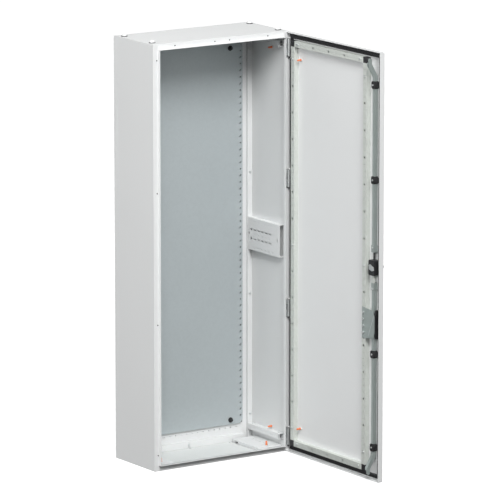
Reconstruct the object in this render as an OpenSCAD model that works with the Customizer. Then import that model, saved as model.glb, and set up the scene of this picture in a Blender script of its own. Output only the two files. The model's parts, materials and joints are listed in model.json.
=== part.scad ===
// Free-standing steel switchboard cabinet: folded body, rear tray, mounting plate, inner rails,
// a single hinged door with a perforated frame, and a two-rod lock with rollers.
// Origin at the centre of the base, front towards -Y, door drawn open by a quarter turn.

/* [Body] */
// Width of the body
body_w = 600; // [500:25:900]
// Height of the body
body_h = 1600; // [1300:25:2000]
// Depth of the body without the door
body_d = 268; // [240:1:420]
// Thickness of the body sheet
sheet = 1.5; // [1.2:0.1:2]
// Width of the folded flange round the front opening, lip included
flange_w = 22; // [20:0.5:26]
// Height of the sealing lip that stands forward of the flange
lip_h = 13.7; // [12:0.1:16]
// Depth of the rear tray's rim
rear_rim = 24; // [18:1:40]

/* [Door] */
// Depth of the door tray
door_depth = 21; // [19:0.5:26]
// Thickness of the door sheet
door_sheet = 1.5; // [1.2:0.1:2]
// Gap between the body flange and the door rim
door_gap = 4; // [3:0.5:6]
// Gap between the door's ends and the body's ends
door_end = 2; // [1:0.5:4]
// Distance from the door's edge to the gasket
gasket_inset = 8; // [7:0.5:9]
// Width of the gasket
gasket_w = 15; // [13.5:0.5:18]

/* [Door frame] */
// Width of the perforated frame tubes
tube_w = 22; // [18:1:26]
// Depth of the frame tubes
tube_d = 18.5; // [16:0.5:18.5]
// Wall of the frame tubes
tube_t = 1.25; // [1:0.25:2]
// Distance from the door's hinge edge to the hinge-side tube
tube_hinge_in = 31; // [29:1:40]
// Distance from the door's lock edge to the lock-side tube
tube_lock_in = 85; // [80:1:110]
// Distance from the door's top and bottom edges to the cross tubes
tube_end_in = 28; // [28:1:40]

/* [Hinges] */
// Number of hinges
hinge_n = 4; // [2:1:5]
// Height of one hinge
hinge_h = 66; // [60:1:90]
// Height of the lowest hinge's centre
hinge_z0 = 60; // [55:1:90]
// Distance from the body's side to the hinge axis
pivot_in = 8; // [8:0.25:9]
// Distance from the flange to the hinge axis
pivot_out = 12; // [11.5:0.5:13]
// Diameter of the hinge pins
pin_d = 5; // [4:0.5:5.5]
// Outer diameter of the hinge knuckles
knuckle_d = 9; // [8:0.5:9]

/* [Lock and rods] */
// Height of the lock spindle
lock_z = 800; // [600:5:1000]
// Side of the square lock rods
rod_s = 13; // [10:0.5:14]
// Distance from the door's lock edge to the rods' centre line
rod_in = 43.5; // [42:0.5:50]
// Diameter of the rollers at the rod ends
roller_d = 18; // [14:1:20]
// Width of the rollers
roller_w = 6; // [5:0.5:8]
// Travel of each rod
rod_stroke = 14; // [10:0.5:14]
// Width of the lock housing
lock_w = 36; // [32:1:40]
// Height of the lock housing
lock_h = 57; // [50:1:70]
// Length of the outside lever
lever_l = 105; // [80:5:130]

/* [Mounting plate] */
// Thickness of the mounting plate
plate_t = 3; // [2:0.5:4]
// Gap between the mounting plate's edge and the body's side
plate_side = 50; // [45:1:80]
// Gap between the mounting plate's ends and the body's ends
plate_end = 70; // [65:1:120]
// Distance from the rear of the body to the plate's front face
plate_back = 34; // [32:1:60]

/* [Inner rails] */
// Pitch of every row of holes
pitch = 25; // [25:5:50]
// Depth of the side rails, from the wall inwards
rail_d = 19.5; // [15:0.5:25]
// Height of the narrow side rails
rail_h = 22; // [18:1:30]
// Height of the wide middle side rails
mid_rail_h = 123; // [115:1:150]
// Distance from the front of the body to the side rails
rail_front = 29; // [27:1:50]
// Distance from the rear of the body to the side rails
rail_rear = 27; // [27:1:60]

/* [Floor] */
// Width of the raised trays along the sides of the floor
tray_w = 108; // [80:1:120]
// Height of the raised trays
tray_h = 15; // [10:1:18]
// Gap between the flange and the trays
tray_front = 46; // [42:1:60]
// Thickness of the gland plate
gland_t = 1.5; // [1:0.5:3]

/* [Hidden] */

$fn = 32;
eps = 0.01;
fit = 0.06;       // radial clearance of a running pin
seat = 0.15;      // clearance round a part that sits in a socket
near = 0.3;       // gap between faces that seal or slide

door_open = 90;   // angle between the shut door and the door as drawn

half_w = body_w / 2;
front_y = -body_d / 2;
rear_y = body_d / 2;
wall_in = half_w - sheet;
flange_y = front_y + sheet;              // rear face of the front flange
mouth_x = half_w - flange_w;             // half width of the clear opening
seam_y = rear_y - rear_rim;              // joint of the body and the rear tray

door_y0 = front_y - door_gap;            // edge of the door rim, door shut
door_y1 = door_y0 - door_depth;          // outer face of the door
skin_y = door_y1 + door_sheet;           // inner face of the door sheet
door_z0 = door_end;
door_z1 = body_h - door_end;
seal_y = front_y - lip_h - near;         // face of the gasket that meets the lip
pivot = [half_w - pivot_in, front_y - pivot_out];

hinge_step = (body_h - 2 * hinge_z0) / (hinge_n - 1);
hinge_zs = [for (i = [0 : hinge_n - 1]) hinge_z0 + i * hinge_step];
knuckle_r = knuckle_d / 2;
knuckle_h = 20;                          // each outer knuckle, on the body leaf
leaf_t = 3;
hinge_screw_x = pivot[0] - 7.7;

tube_y = skin_y + tube_d;                // inner face of the frame tubes
tube_hx0 = half_w - tube_hinge_in - tube_w;
tube_lx0 = -half_w + tube_lock_in;
tube_z0 = door_z0 + tube_end_in;
tube_z1 = door_z1 - tube_end_in;
access_d = 9;                            // large holes, every fourth pitch
small_d = 3.6;                           // small holes, every pitch
rail_hole_d = 4.5;
plate_hole_d = 6;
door_screw_d = 3.9;
door_screw_head = 9;

rod_x = -half_w + rod_in;
rod_back = 2.5;                          // rod clear of the door sheet
rod_y0 = skin_y + rod_back;
rod_y1 = rod_y0 + rod_s;
roller_r = roller_d / 2;
roller_y = flange_y + 1.5 + roller_r;    // roller bears behind the flange
roller_in = flange_w + 2 + roller_r;     // rod drawn back: roller clears the lip
rod_shift = roller_y - (rod_y0 + rod_y1) / 2;
bend_l = 50;
bend_k = 6;
rod_tab = 5;
link_w = 10;
link_t = 3;
coupler_s = rod_s + 4;
coupler_h = 26;
roller_pin_d = 5;
link_l = 60;                             // spindle to the start of the square rod
hub_r = 8;
spindle_hole_d = 20;
lock_y1 = skin_y + 23.5;                 // inner face of the lock housing
lock_wall = 2.5;
guide_h = 28;
guide_far = 124;                         // outer guides, from the door's ends
guide_near = 474;                        // inner guides, from the door's ends
guide_t = 3.5;
guide_side = 4;                          // wall of a guide on each side of the rod

plate_y0 = rear_y - plate_back;
plate_y1 = plate_y0 + plate_t;
plate_x = half_w - plate_side;
plate_z0 = plate_end;
plate_z1 = body_h - plate_end;
plate_cut = 12;
plate_hole_in = 10;
fix_x = plate_x - 56;
fix_in = 17;
fix_d = 8;                               // threaded stud
fix_foot_d = 16;                         // stand-off behind the plate
fix_l = 14;                              // stud in front of the plate

upright_y = rear_y - 26;                 // front face of the uprights
up_a = half_w - 21;                      // outer band starts here
up_b = up_a - 5;                         // groove
up_c = up_b - 21;                        // inner band
bolt_x = (up_a + wall_in) / 2;
bolt_in = 100;
bolt_zs = [for (k = [0 : 3]) bolt_in + k * (body_h - 2 * bolt_in) / 3];

rail_x = wall_in - rail_d;
shank_d = 5;                             // inner frame screws
frame_af = 8;
frame_head = 4;
skirt_bolt_d = 6;
rail_y0 = front_y + rail_front;
rail_y1 = rear_y - rail_rear;
low_rail_z = 40;
rail_screw_ys = [rail_y0 + 18, rail_y1 - 18];
rail_rows = floor((rail_y1 - rail_y0 - 53) / pitch);

tray_x0 = wall_in - tray_w;
tray_y0 = front_y + tray_front;
tray_y1 = rear_y - 52;
gland_x = tray_x0 - 4;
gland_y0 = front_y + 14;
gland_y1 = rear_y - 44;
gland_rim = 16;
gasket_t = 2;
gland_z = sheet + gasket_t;
gland_screw_in = 8;
stud_x = half_w - 63;
stud_y = front_y + tray_front + 8;
wall_stud_y = front_y + 106;
wall_stud_z = 75;
stud_d = 6;
stud_l = 18;
stud_nut_af = 11;
stud_nut_h = 3;
cap_r = 4;
cap_h = 16;
cap_bore = 15.2;
door_stud_x = tube_hx0 - 21;
foot_x = half_w - 40;
foot_y = body_d / 2 - 34;
foot_d = 12;
lift_x = half_w - 22;
lift_y = body_d / 2 - 40;

paint = [0.86, 0.87, 0.87];
zinc = [0.68, 0.72, 0.70];
steel = [0.75, 0.76, 0.78];
black = [0.10, 0.10, 0.11];
orange = [0.95, 0.45, 0.25];

// ---------- shared shapes ----------

// A flat outline in X and Z, thick along +Y from y
module face_y(y, t) {
    translate([0, y + t, 0]) rotate([90, 0, 0]) linear_extrude(t) children();
}

// A flat outline in Y and Z, thick along +X from x
module face_x(x, t) {
    translate([x, 0, 0]) rotate([90, 0, 90]) linear_extrude(t) children();
}

// A block between two corners
module block(a, b) {
    translate(a) cube(b - a);
}

// A flat outline between two corners
module sheet2d(a, b) {
    translate(a) square(b - a);
}

// A slot with round ends, centred, along the first axis
module slot2d(l, w) {
    square([l - w, w], center = true);
    for (s = [-1, 1]) translate([s * (l - w) / 2, 0]) circle(d = w);
}

// A hexagon-headed screw along +Z, head's underside at the origin
module hex_screw(af, head, shank_d, shank) {
    cylinder(d = af / cos(30), h = head, $fn = 6);
    translate([0, 0, -shank]) cylinder(d = shank_d, h = shank);
}

// A pan-headed screw along +Z with a socket, head's underside at the origin
module pan_screw(d, head, shank_d, shank) {
    difference() {
        cylinder(d = d, h = head);
        translate([0, 0, head * 0.4]) cylinder(d = d * 0.45, h = head, $fn = 6);
    }
    translate([0, 0, -shank]) cylinder(d = shank_d, h = shank);
}

// Left and right copies
module pair_x() {
    children();
    mirror([1, 0, 0]) children();
}

// Puts a piece drawn on the shut door where the open door holds it
module on_door() {
    translate([pivot[0], pivot[1], 0]) rotate([0, 0, door_open])
        translate([-pivot[0], -pivot[1], 0]) children();
}

// ---------- body ----------

// Right-hand wall with its front flange and sealing lip
module side_wall() {
    block([wall_in, flange_y, 0], [half_w, seam_y, body_h]);
    face_y(front_y, sheet) difference() {
        sheet2d([mouth_x, 0], [half_w, body_h]);
        for (z = hinge_zs) translate([hinge_screw_x, z]) circle(d = small_d);
    }
    block([mouth_x, front_y - lip_h, flange_w - sheet],
          [mouth_x + sheet, front_y, body_h - flange_w + sheet]);
}

module side_right() color(paint) side_wall();

module side_left() color(paint) mirror([1, 0, 0]) side_wall();

// Flange and lip along the top edge of the opening; the bottom edge is its mirror image
module end_flange() {
    block([-mouth_x, front_y, body_h - flange_w], [mouth_x, flange_y, body_h]);
    block([-mouth_x, front_y - lip_h, body_h - flange_w], [mouth_x, front_y, body_h - flange_w + sheet]);
}

flange_xs = [-half_w + 95, -30, 35, half_w - 95];
flange_plug_in = 11;                     // below the top edge
plug_d = 5;
lift_hole_d = 13;

module roof_panel() color(paint) {
    translate([0, 0, body_h - sheet]) linear_extrude(sheet) difference() {
        sheet2d([-wall_in, flange_y], [wall_in, seam_y]);
        for (x = [-lift_x, lift_x], y = [-lift_y, lift_y]) translate([x, y]) circle(d = lift_hole_d);
    }
    difference() {
        end_flange();
        for (x = flange_xs) translate([x, front_y - eps, body_h - flange_plug_in]) rotate([-90, 0, 0])
            cylinder(d = small_d, h = sheet + 2 * eps);
    }
}

module floor_panel() color(paint) {
    linear_extrude(sheet) difference() {
        sheet2d([-wall_in, flange_y], [wall_in, seam_y]);
        sheet2d([-gland_x + gland_rim, gland_y0 + gland_rim], [gland_x - gland_rim, gland_y1 - gland_rim]);
        for (x = [-foot_x, foot_x], y = [-foot_y, foot_y]) translate([x, y]) circle(d = foot_d);
    }
    translate([0, 0, body_h]) mirror([0, 0, 1]) end_flange();
}

module rear_tray() color(paint) difference() {
    block([-half_w, seam_y, 0], [half_w, rear_y, body_h]);
    block([-wall_in, seam_y - eps, sheet], [wall_in, rear_y - sheet, body_h - sheet]);
}

// Folded rear upright: two bands with a groove between them
module upright() {
    z0 = sheet;
    h = body_h - 2 * sheet;
    deep = upright_y + 10;
    difference() {
        translate([0, 0, z0]) linear_extrude(h) {
            sheet2d([up_a, upright_y], [wall_in, upright_y + sheet]);
            sheet2d([up_a - sheet, upright_y], [up_a, deep]);
            sheet2d([up_b, deep - sheet], [up_a, deep]);
            sheet2d([up_b - sheet, upright_y], [up_b, deep]);
            sheet2d([up_c, upright_y], [up_b, upright_y + sheet]);
            sheet2d([up_c, upright_y], [up_c + sheet, rear_y - sheet]);
        }
        for (z = bolt_zs) translate([bolt_x, upright_y - eps, z]) rotate([-90, 0, 0])
            cylinder(d = shank_d + 2 * seat, h = 2 * sheet);
    }
}

module upright_right() color(paint) upright();

module upright_left() color(paint) mirror([1, 0, 0]) upright();

cross_z0 = 29;
ledge_y = upright_y - 16;
skirt_bolt_z = 17;
cross_z1 = plate_z0;
cross_n = floor((up_c - 15) / pitch);

// Lower rear cross member: a perforated face, a ledge and a skirt down to the floor
module cross_member() {
    face_y(upright_y, sheet) difference() {
        sheet2d([-up_c, cross_z0], [up_c, cross_z1]);
        for (i = [-cross_n : cross_n]) translate([i * pitch, (cross_z0 + cross_z1) / 2 + 6]) circle(d = 5);
    }
    block([-up_c, upright_y + sheet, cross_z1 - sheet], [up_c, rear_y - sheet, cross_z1]);
    block([-up_c, ledge_y, cross_z0 - sheet], [up_c, upright_y + sheet, cross_z0]);
    face_y(ledge_y, sheet) difference() {
        sheet2d([-up_c, sheet], [up_c, cross_z0 - sheet]);
        translate([0, skirt_bolt_z]) circle(d = skirt_bolt_d + 0.4);
    }
}

module cross_bottom() color(paint) cross_member();

module cross_top() color(paint) translate([0, 0, body_h]) mirror([0, 0, 1]) cross_member();

// ---------- mounting plate ----------

plate_n = floor((plate_z1 - plate_z0 - 40) / 2 / pitch);

module mounting_plate() color(zinc) difference() {
    face_y(plate_y0, plate_t) difference() {
        polygon([[-plate_x + plate_cut, plate_z0], [plate_x - plate_cut, plate_z0],
                 [plate_x, plate_z0 + plate_cut], [plate_x, plate_z1 - plate_cut],
                 [plate_x - plate_cut, plate_z1], [-plate_x + plate_cut, plate_z1],
                 [-plate_x, plate_z1 - plate_cut], [-plate_x, plate_z0 + plate_cut]]);
        for (s = [-1, 1], i = [-plate_n : plate_n])
            translate([s * (plate_x - plate_hole_in), body_h / 2 + i * pitch])
                if (i % 2 == 0) circle(d = plate_hole_d);
                else rotate(s * 45) slot2d(10, 4);
    }
    for (x = [-fix_x, fix_x], z = [plate_z0 + fix_in, plate_z1 - fix_in])
        translate([x, plate_y0 - eps, z]) rotate([-90, 0, 0])
            cylinder(d = fix_d + 1, h = plate_t + 2 * eps);
}

// Places one copy at each of the mounting plate's four fixings, pointing to the front
module at_fixings() {
    for (x = [-fix_x, fix_x], z = [plate_z0 + fix_in, plate_z1 - fix_in])
        translate([x, plate_y1, z]) rotate([90, 0, 0]) children();
}

module plate_standoffs() color(steel) at_fixings() {
    translate([0, 0, -(rear_y - sheet - plate_y1)]) cylinder(d = fix_foot_d, h = rear_y - sheet - plate_y1);
    cylinder(d = fix_d, h = plate_t + fix_l);
}

module plate_nuts() color(black) at_fixings() difference() {
    union() {
        translate([0, 0, plate_t]) cylinder(d = 20, h = 2);
        translate([0, 0, plate_t + 2]) cylinder(d = 13 / cos(30), h = 7, $fn = 6);
    }
    translate([0, 0, plate_t - eps]) cylinder(d = fix_d + 2 * fit, h = fix_l);
}

// ---------- side rails ----------

// Open channel on the right wall: height h from z0, its face outline passed as a child
module rail(z0, h) {
    face_x(rail_x, sheet) difference() {
        sheet2d([rail_y0, z0], [rail_y1, z0 + h]);
        children();
    }
    for (z = [z0, z0 + h - sheet])
        block([rail_x + sheet, rail_y0, z], [wall_in, rail_y1, z + sheet]);
}

module rail_mid() {
    zm = body_h / 2;
    rail(zm - mid_rail_h / 2, mid_rail_h) {
        for (i = [0 : rail_rows - 1]) {
            for (k = [-0.7, 0.7]) translate([rail_y1 - 22 - i * pitch, zm + k * pitch]) slot2d(15, 6);
            for (k = [-2, 2]) translate([rail_y1 - 43 - i * pitch, zm + k * pitch]) circle(d = rail_hole_d);
        }
        for (i = [1 : rail_rows - 1]) translate([rail_y1 - 22 - i * pitch, zm]) circle(d = rail_hole_d);
        for (y = [rail_y0 + 16, rail_y1 - 8]) translate([y, zm]) rotate(90) slot2d(13, 6);
    }
}

module rail_mid_right() color(paint) rail_mid();

module rail_mid_left() color(paint) mirror([1, 0, 0]) rail_mid();

module rail_low() difference() {
    rail(low_rail_z, rail_h) {
        for (i = [0 : rail_rows])
            translate([rail_y1 - 22 - i * pitch, low_rail_z + rail_h / 2]) circle(d = rail_hole_d);
        translate([rail_y0 + 8, low_rail_z + rail_h / 2]) rotate(90) slot2d(12, 5);
    }
    for (y = rail_screw_ys) translate([(rail_x + wall_in) / 2, y, low_rail_z + rail_h - 2 * sheet])
        cylinder(d = shank_d + 2 * seat, h = 3 * sheet);
}

module rail_low_right() color(paint) rail_low();

module rail_low_left() color(paint) mirror([1, 0, 0]) rail_low();

module rail_up() translate([0, 0, body_h]) mirror([0, 0, 1]) rail_low();

module rail_up_right() color(paint) rail_up();

module rail_up_left() color(paint) mirror([1, 0, 0]) rail_up();

// Screws through the inner web of each narrow rail, near its ends
module rail_screws() color(steel) for (m = [0, 1]) translate([0, 0, m * body_h]) mirror([0, 0, m])
    pair_x() for (y = rail_screw_ys)
        translate([(rail_x + wall_in) / 2, y, low_rail_z + rail_h])
            hex_screw(frame_af, frame_head, shank_d, rail_h - 2 * sheet);

// Screws that hold the uprights, and one through the skirt of each cross member
module frame_bolts() color(steel) {
    pair_x() for (z = bolt_zs) translate([bolt_x, upright_y, z]) rotate([90, 0, 0])
        hex_screw(frame_af, frame_head, shank_d, 12);
    for (z = [skirt_bolt_z, body_h - skirt_bolt_z]) translate([0, ledge_y, z]) rotate([90, 0, 0])
        hex_screw(10, 5, skirt_bolt_d, 12);
}

// ---------- floor ----------

// Raised tray on the right of the floor, open underneath, with a row of slots
module floor_tray() difference() {
    block([tray_x0, tray_y0, sheet], [wall_in, tray_y1, sheet + tray_h]);
    block([tray_x0 + sheet, tray_y0 + sheet, sheet - eps], [wall_in - sheet, tray_y1 - sheet, tray_h]);
    for (y = [tray_y0 + 30 : pitch : tray_y1 - 20])
        translate([(tray_x0 + wall_in) / 2 + 12, y, tray_h - eps])
            linear_extrude(sheet + 2 * eps) slot2d(12, 5);
    translate([tray_x0 - eps, tray_y1 - 30, sheet + tray_h / 2]) rotate([90, 0, 90])
        linear_extrude(sheet + 2 * eps) slot2d(22, 5);
}

module floor_tray_right() color(paint) floor_tray();

module floor_tray_left() color(paint) mirror([1, 0, 0]) floor_tray();

gland_holes = [for (x = [-gland_x + gland_screw_in, 0, gland_x - gland_screw_in],
                    y = [gland_y0 + gland_screw_in, gland_y1 - gland_screw_in]) [x, y]];

module gland_gasket() color(black) translate([0, 0, sheet]) linear_extrude(gasket_t) difference() {
    sheet2d([-gland_x, gland_y0], [gland_x, gland_y1]);
    sheet2d([-gland_x + gland_rim, gland_y0 + gland_rim], [gland_x - gland_rim, gland_y1 - gland_rim]);
    for (p = gland_holes) translate(p) circle(d = 5);
}

module gland_plate() color(zinc) translate([0, 0, gland_z]) linear_extrude(gland_t) difference() {
    sheet2d([-gland_x, gland_y0], [gland_x, gland_y1]);
    for (p = gland_holes) translate(p) circle(d = 5);
}

module gland_screws() color(steel) for (p = gland_holes)
    translate([p[0], p[1], gland_z + gland_t]) pan_screw(9, 3, 4.6, gland_t + gasket_t);

// ---------- earthing ----------

stud_spots = [for (s = [-1, 1]) [s * stud_x, stud_y]];

// A threaded stud along +Z with its nut
module stud() {
    cylinder(d = stud_nut_af / cos(30), h = stud_nut_h, $fn = 6);
    cylinder(d = stud_d, h = stud_l);
}

// Puts a piece on the two floor studs and the two studs of the right-hand wall
module at_studs() {
    for (p = stud_spots) translate([p[0], p[1], sheet + tray_h]) children();
    for (z = [wall_stud_z, body_h - wall_stud_z]) translate([wall_in, wall_stud_y, z])
        rotate([0, -90, 0]) children();
}

module earth_studs() color(steel) at_studs() stud();

// A plastic cap over a stud, open at its foot
module stud_cap() difference() {
    union() {
        translate([0, 0, stud_nut_h]) cylinder(r = cap_r, h = cap_h);
        translate([0, 0, stud_nut_h]) cylinder(r = cap_r + 1, h = 2);
    }
    translate([0, 0, stud_nut_h - eps]) cylinder(d = stud_d + 2 * fit, h = cap_bore);
}

module earth_caps() color(orange) at_studs() stud_cap();

// ---------- roof and flange fittings ----------

module at_lifting() {
    for (x = [-lift_x, lift_x], y = [-lift_y, lift_y]) translate([x, y, body_h]) children();
}

module lifting_washers() color(black) at_lifting() rotate_extrude()
    polygon([[6.5, 0], [12, 0], [12, 1.5], [11, 2.5], [6.5, 2.5]]);

module lifting_plugs() color(paint) at_lifting() {
    translate([0, 0, -12]) cylinder(d = 12, h = 14.5);
    translate([0, 0, 2.5]) rotate_extrude()
        polygon([[0, 0], [10, 0], [10, 4], [8.5, 6.5], [5, 8], [0, 8]]);
}

// A flat button that closes a small hole in the flange
module flange_plug() rotate([90, 0, 0]) {
    cylinder(d = plug_d, h = 1);
    translate([0, 0, -sheet]) cylinder(d = small_d - 0.1, h = sheet);
}

module flange_plugs() color(black) {
    for (x = flange_xs) translate([x, front_y, body_h - flange_plug_in]) flange_plug();
    for (z = hinge_zs) translate([-hinge_screw_x, front_y, z]) flange_plug();
}

// ---------- hinges ----------

module at_hinges() {
    for (z = hinge_zs) translate([pivot[0], pivot[1], z]) children();
}

// Leaf on the flange with an upper and a lower knuckle
module hinge_body_leaves() color(steel) at_hinges() difference() {
    union() {
        block([-11, pivot_out - leaf_t, -hinge_h / 2], [knuckle_r, pivot_out, hinge_h / 2]);
        for (s = [0, 1]) mirror([0, 0, s]) translate([0, 0, hinge_h / 2 - knuckle_h]) {
            cylinder(r = knuckle_r, h = knuckle_h);
            block([-knuckle_r, 0, 0], [knuckle_r, pivot_out - leaf_t, knuckle_h]);
        }
    }
    translate([0, 0, -hinge_h]) cylinder(d = pin_d + 2 * fit, h = 2 * hinge_h);
    translate([hinge_screw_x - pivot[0], 0, 0]) rotate([-90, 0, 0])
        cylinder(d = small_d, h = pivot_out + eps);
}

module hinge_pins() color(black) at_hinges() {
    translate([0, 0, -hinge_h / 2 - 1]) cylinder(d = pin_d, h = hinge_h + 2);
    translate([0, 0, -hinge_h / 2 - 4]) cylinder(r = knuckle_r - 0.2, h = 4);
}

module hinge_screws() color(black) for (z = hinge_zs)
    translate([hinge_screw_x, front_y - leaf_t, z]) rotate([90, 0, 0])
        pan_screw(5, 2, small_d - 0.1, leaf_t + sheet);

// Leaf on the door sheet with the middle knuckle
module hinge_door_leaves() color(steel) on_door() at_hinges() {
    foot = skin_y - pivot[1];
    mid = hinge_h / 2 - knuckle_h - near;
    difference() {
        union() {
            cylinder(r = knuckle_r, h = 2 * mid, center = true);
            block([-knuckle_r, foot, -mid], [knuckle_r, 0, mid]);
            block([-knuckle_r, foot, -hinge_h / 2], [pivot_in - door_sheet - 0.5, foot + 2.5, hinge_h / 2]);
        }
        cylinder(d = pin_d + 2 * fit, h = hinge_h, center = true);
    }
}

// ---------- door ----------

notch_x = pivot_in - door_sheet - 1;

module door_skin() color(paint) on_door() difference() {
    block([-half_w, door_y1, door_z0], [half_w, skin_y, door_z1]);
    translate([rod_x, door_y1 - eps, lock_z]) rotate([-90, 0, 0])
        cylinder(d = spindle_hole_d, h = door_sheet + 2 * eps);
}

// The folded rims are separate straight strips, so that a collision hull on each leaves the tray open
module door_rims() color(paint) on_door() {
    difference() {
        block([half_w - door_sheet, skin_y, door_z0], [half_w, door_y0, door_z1]);
        for (z = hinge_zs) block([half_w - door_sheet - eps, skin_y - eps, z - hinge_h / 2 - 5],
                                 [half_w + eps, door_y0 + eps, z + hinge_h / 2 + 2]);
    }
    block([-half_w, skin_y, door_z0], [-half_w + door_sheet, door_y0, door_z1]);
    for (z = [door_z0, door_z1 - door_sheet])
        block([-half_w + door_sheet + fit, skin_y, z],
              [half_w - door_sheet - fit, door_y0, z + door_sheet]);
}

module door_gasket() color(black) on_door() difference() {
    a = half_w - gasket_inset;
    b = a - gasket_w;
    z0 = door_z0 + gasket_inset;
    z1 = door_z1 - gasket_inset;
    face_y(skin_y, seal_y - skin_y) difference() {
        sheet2d([-a, z0], [a, z1]);
        sheet2d([-b, z0 + gasket_w], [b, z1 - gasket_w]);
    }
    for (z = hinge_zs) block([pivot[0] - knuckle_r - 0.7, skin_y - eps, z - hinge_h / 2 - 5],
                             [half_w, seal_y + eps, z + hinge_h / 2 + 2]);
}

up_first = pitch * ceil((tube_z0 + tube_w + 8) / pitch);
up_n = floor((tube_z1 - tube_w - 8 - up_first) / pitch);
up_screws = [for (z = [100, body_h / 2, body_h - 100]) round((z - up_first) / pitch)];
cross_len = tube_hx0 - tube_lx0 - tube_w;
cross_half = floor((cross_len - 12) / 2 / pitch);

// Hollow tube lying along +X from the origin, holes in its face towards +Y; length l
module frame_tube(l) {
    difference() {
        block([0, 0, 0], [l, tube_d, tube_w]);
        block([-eps, tube_t, tube_t], [l + eps, tube_d - tube_t, tube_w - tube_t]);
        translate([0, tube_d + eps, tube_w / 2]) rotate([90, 0, 0])
            linear_extrude(tube_t + 2 * eps) children();
    }
}

// Upright tube with its left side at x
module upright_tube(x) {
    translate([x + tube_w, skin_y, tube_z0 + tube_w]) rotate([0, -90, 0])
        frame_tube(tube_z1 - tube_z0 - 2 * tube_w)
            translate([up_first - tube_z0 - tube_w, 0]) for (i = [0 : up_n])
                translate([i * pitch, 0])
                    circle(d = len([for (s = up_screws) if (s == i) s]) > 0 ? door_screw_d + 0.1
                             : (i * pitch + up_first) % (4 * pitch) == 0 ? access_d : small_d);
}

module tube_hinge_side() color(zinc) on_door() upright_tube(tube_hx0);

module tube_lock_side() color(zinc) on_door() upright_tube(tube_lx0);

cross_screws = [-2 * floor(cross_half / 2), 2 * floor(cross_half / 2)];

module cross_tube(z) {
    translate([tube_lx0 + tube_w, skin_y, z]) frame_tube(cross_len)
        for (i = [-cross_half : cross_half]) translate([cross_len / 2 + i * pitch, 0])
            circle(d = abs(i) == abs(cross_screws[0]) ? door_screw_d + 0.1
                     : i % 4 == 0 ? access_d : small_d);
}

module tube_top() color(zinc) on_door() cross_tube(tube_z1 - tube_w);

module tube_bottom() color(zinc) on_door() cross_tube(tube_z0);

spigot = 26;

// Plastic corner with a spigot into each tube
module tube_corners() color(black) on_door()
    for (x = [tube_lx0, tube_hx0], z = [tube_z0, tube_z1 - tube_w]) {
        sx = x == tube_lx0 ? 1 : -1;
        sz = z == tube_z0 ? 1 : -1;
        play = 2 * tube_t + 2 * seat;
        translate([x + tube_w / 2, skin_y + tube_d / 2, z + tube_w / 2]) {
            cube([tube_w, tube_d, tube_w], center = true);
            translate([sx * spigot / 2, 0, 0]) cube([spigot, tube_d - play, tube_w - play], center = true);
            translate([0, 0, sz * spigot / 2]) cube([tube_w - play, tube_d - play, spigot], center = true);
        }
    }

bracket_z = pitch * (round((lock_z - 212.5) / pitch - 0.5) + 0.5);
bracket_zs = [for (k = [-1.5 : 1.5]) bracket_z + k * pitch];
guide_zs = [door_z0 + guide_far, door_z0 + guide_near, door_z1 - guide_near, door_z1 - guide_far];

// Screws that hold the frame tubes, the lifting bracket and the rod guides
module door_screws() color(steel) on_door() {
    for (x = [tube_lx0, tube_hx0] , i = up_screws)
        translate([x + tube_w / 2, tube_y, up_first + i * pitch]) rotate([-90, 0, 0])
            pan_screw(door_screw_head, 3, door_screw_d, tube_t + 5);
    for (i = cross_screws, z = [tube_z0, tube_z1 - tube_w])
        translate([tube_lx0 + tube_w + cross_len / 2 + i * pitch, tube_y, z + tube_w / 2])
            rotate([-90, 0, 0]) pan_screw(door_screw_head, 3, door_screw_d, tube_t + 5);
    for (z = guide_zs) translate([rod_x, rod_y1 + guide_t, z]) rotate([-90, 0, 0])
        pan_screw(7, 2, 3, 2);
    for (z = bracket_zs) translate([tube_lx0 + tube_w / 2, tube_y + bracket_t, z]) rotate([-90, 0, 0])
        pan_screw(door_screw_head, 3, small_d - 0.2, bracket_t + tube_t);
}

// Plastic guide that wraps a rod and stands on the door sheet
module rod_guides() color(black) on_door() for (z = guide_zs) difference() {
    block([rod_x - rod_s / 2 - guide_side, skin_y, z - guide_h / 2],
          [rod_x + rod_s / 2 + guide_side, rod_y1 + guide_t, z + guide_h / 2]);
    block([rod_x - rod_s / 2 - near, rod_y0 - near, z - guide_h],
          [rod_x + rod_s / 2 + near, rod_y1 + near, z + guide_h]);
    translate([rod_x, rod_y1 + near, z]) rotate([-90, 0, 0]) cylinder(d = 3, h = guide_t);
}

// ---------- lock ----------

module lock_housing() color(black) on_door() difference() {
    block([rod_x - lock_w / 2, skin_y, lock_z - lock_h / 2],
          [rod_x + lock_w / 2, lock_y1, lock_z + lock_h / 2]);
    block([rod_x - lock_w / 2 + lock_wall, skin_y - eps, lock_z - lock_h / 2 + lock_wall],
          [rod_x + lock_w / 2 - lock_wall, lock_y1 - lock_wall, lock_z + lock_h / 2 - lock_wall]);
    block([rod_x - link_w / 2 - near, (rod_y0 + rod_y1 - link_t) / 2 - near, lock_z - lock_h],
          [rod_x + link_w / 2 + near, (rod_y0 + rod_y1 + link_t) / 2 + near, lock_z + lock_h]);
    translate([rod_x, lock_y1 - lock_wall - eps, lock_z]) rotate([-90, 0, 0])
        cylinder(r = 7 + near, h = lock_wall + 2 * eps);
}

cam_gap = 0.5;
cam_t = 2;
boss_r = 14;
rose_t = 8;
lever_y = door_y1 - rose_t - near;

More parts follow.
